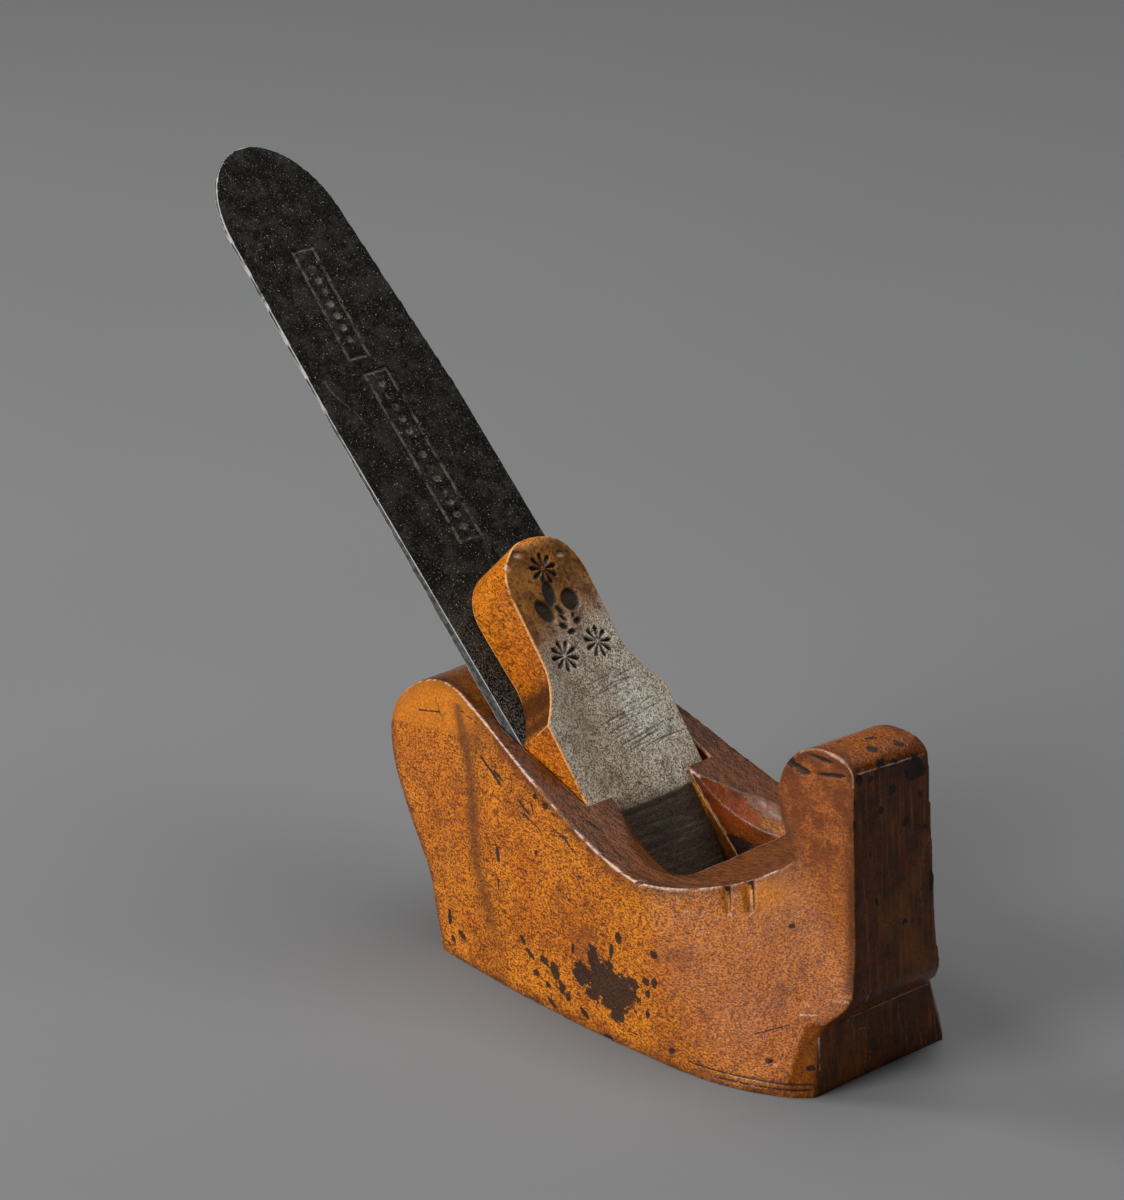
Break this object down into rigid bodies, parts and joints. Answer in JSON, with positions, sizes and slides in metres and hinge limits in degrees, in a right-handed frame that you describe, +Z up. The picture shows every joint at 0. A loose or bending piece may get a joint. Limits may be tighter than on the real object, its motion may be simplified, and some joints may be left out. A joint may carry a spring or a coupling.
{
  "type": "hand plane",
  "caption": "Small wooden hand plane with a hooked front horn, a rounded rear hump and a long tapered iron that a forked wedge holds at a slant in the throat.",
  "frame": {"origin": "middle of the cutting edge at rest, level with the sole", "axes": "+X forward to the horn, +Y to the left of a user pushing the plane forward, +Z up"},
  "size_m": [0.1755, 0.0534, 0.1393],
  "materials": {
    "stock_wood": "oiled and worn",
    "forged_iron": "dark forged, pitted",
    "bit_steel": "dark, ground at the edge",
    "wedge_wood": "weathered"
  },
  "bodies": {
    "stock": {"stock": "stock_wood"},
    "iron": {"iron": "forged_iron", "iron_bit": "bit_steel"},
    "wedge": {"wedge": "wedge_wood"}
  },
  "joints": [
    {"name": "iron_slide", "type": "slide", "parent": "stock", "child": "iron", "axis": [-0.6896, 0, 0.7242], "range_m": [-0.001, 0.06]},
    {"name": "wedge_slide", "type": "slide", "parent": "iron", "child": "wedge", "axis": [-0.7071, 0, 0.7071], "range_m": [0, 0.045]}
  ]
}
